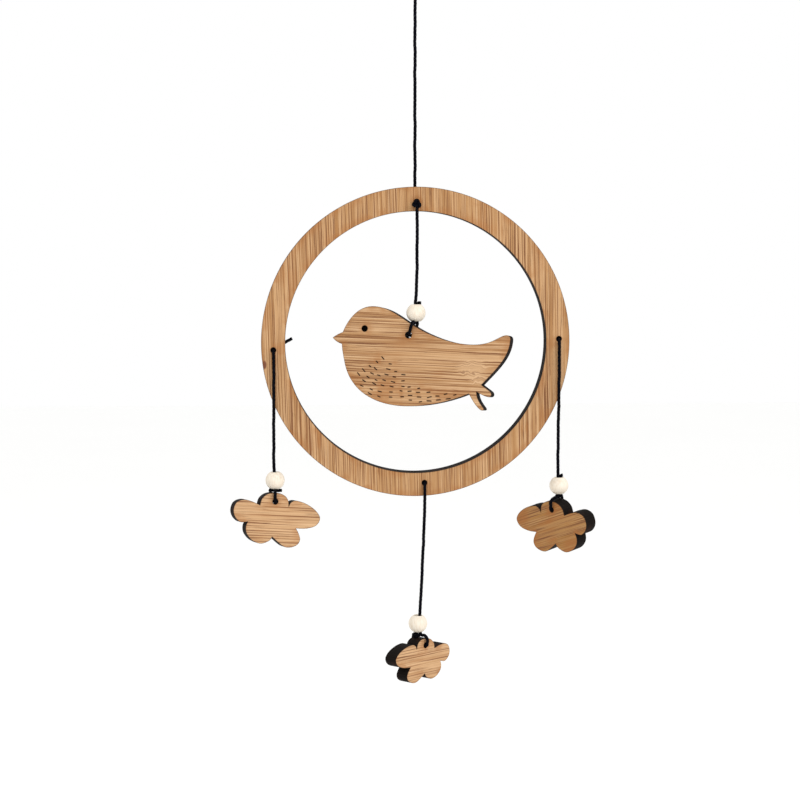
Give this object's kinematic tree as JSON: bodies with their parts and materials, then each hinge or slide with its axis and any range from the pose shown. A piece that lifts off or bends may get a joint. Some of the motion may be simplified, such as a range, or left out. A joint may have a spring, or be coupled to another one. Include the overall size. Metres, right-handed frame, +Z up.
{
  "type": "hanging mobile",
  "caption": "Wooden hanging mobile: a flat bird inside a flat ring, with small flat clouds below it, each on black cord with a round bead above it.",
  "frame": {"origin": "top of the loop that the mobile hangs by, on the hanging cord's vertical line", "axes": "+Z up along the hanging cord, -Y towards the front, +X to the right as seen from the front, in the ring's plane"},
  "size_m": [0.1519, 0.0413, 0.3175],
  "materials": {
    "bamboo": "plain sanded bamboo board with dark burnt cut edges",
    "pale_wood": "plain sanded pale wood",
    "black_cord": "waxed twisted cotton"
  },
  "bodies": {
    "root": {"ring": "bamboo", "bird": "bamboo", "cloud_left": "bamboo", "cloud_right": "bamboo", "cloud_low": "bamboo", "bead_bird": "pale_wood", "bead_left": "pale_wood", "bead_right": "pale_wood", "bead_low": "pale_wood", "hanging_cord": "black_cord", "cord_left": "black_cord", "cord_right": "black_cord", "cord_low": "black_cord"}
  },
  "joints": []
}
